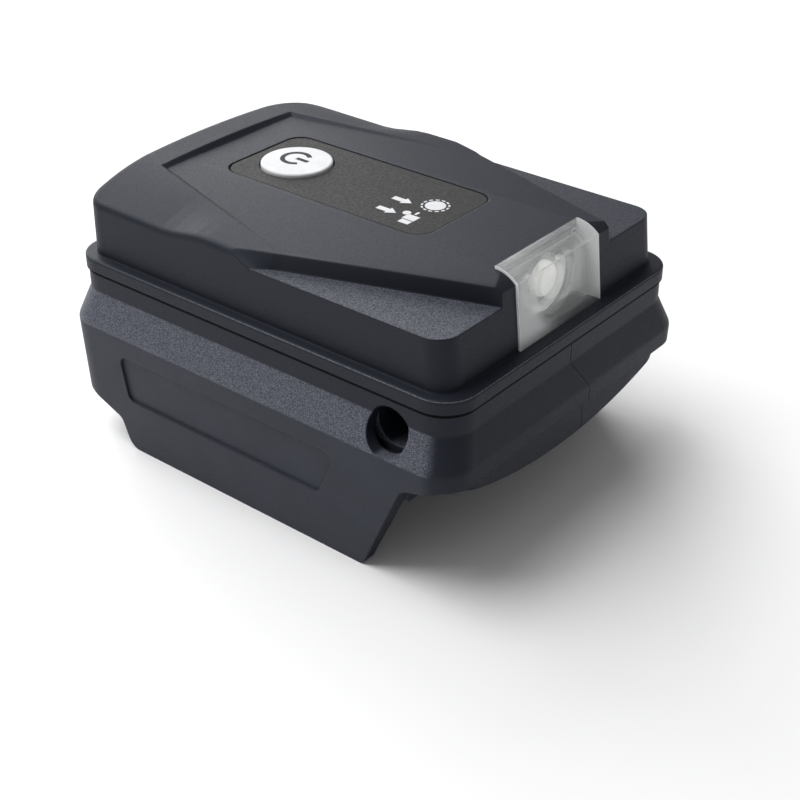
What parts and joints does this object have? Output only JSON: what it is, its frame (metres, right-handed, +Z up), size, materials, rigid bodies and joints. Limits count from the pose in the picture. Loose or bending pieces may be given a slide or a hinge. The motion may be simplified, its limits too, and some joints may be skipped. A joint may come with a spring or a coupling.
{
  "type": "usb battery adapter",
  "caption": "Slide-on USB power adapter for a cordless tool pack, with a work lamp behind a clear window, a push button and two rear USB sockets.",
  "frame": {"origin": "centre of the bounding box at the bottom of the two skirts, where the adapter stands", "axes": "+X towards the lamp window, +Z up out of the label panel, +Y to the left when facing +X"},
  "size_m": [0.0946, 0.0746, 0.0542],
  "materials": {
    "housing_plastic": "fine moulded grain, charcoal black",
    "clear_plastic": "clear moulded plastic, slightly frosted inside",
    "label_film": "satin printed film",
    "button_plastic": "smooth white",
    "switch_plastic": "moulded black",
    "plated_steel": "bright plated sheet",
    "board_laminate": "green solder mask",
    "lamp_laminate": "white solder mask",
    "socket_plastic": "moulded white",
    "contact_brass": "plated strip",
    "reflector_plastic": "bright moulded ring",
    "lamp_lens": "translucent lens",
    "terminal_plastic": "glass-filled black moulding",
    "lead_red": "red insulation",
    "lead_black": "black insulation",
    "ferrite": "sintered grey-black",
    "copper_winding": "enamelled copper wire",
    "capacitor_sleeve": "shrunk sleeve",
    "chip_resin": "moulded resin",
    "screw_steel": "zinc plated"
  },
  "bodies": {
    "housing": {"top_cover": "housing_plastic", "lower_housing_right": "housing_plastic", "lower_housing_left": "housing_plastic", "light_window": "clear_plastic", "label_panel": "label_film", "switch_body": "switch_plastic", "switch_cover": "plated_steel", "main_board": "board_laminate", "usb_shell_left": "plated_steel", "usb_shell_right": "plated_steel", "usb_tongue_left": "socket_plastic", "usb_tongue_right": "socket_plastic", "usb_contacts_left": "contact_brass", "usb_contacts_right": "contact_brass", "lamp_board": "lamp_laminate", "lamp_reflector": "reflector_plastic", "work_lamp": "lamp_lens", "terminal_block": "terminal_plastic", "positive_terminal": "contact_brass", "negative_terminal": "contact_brass", "positive_lead": "lead_red", "negative_lead": "lead_black", "inductor_core": "ferrite", "inductor_winding": "copper_winding", "input_capacitor": "capacitor_sleeve", "output_capacitor": "capacitor_sleeve", "converter_chips": "chip_resin", "power_diode": "chip_resin", "cover_screws": "screw_steel", "board_screws": "screw_steel", "housing_screw": "screw_steel"},
    "button": {"power_button": "button_plastic", "switch_stem": "switch_plastic"}
  },
  "joints": [
    {"name": "button_press", "type": "slide", "parent": "housing", "child": "button", "axis": [0, 0, -1], "range_m": [0, 0.0004], "stiffness_N_per_m": 2500}
  ]
}
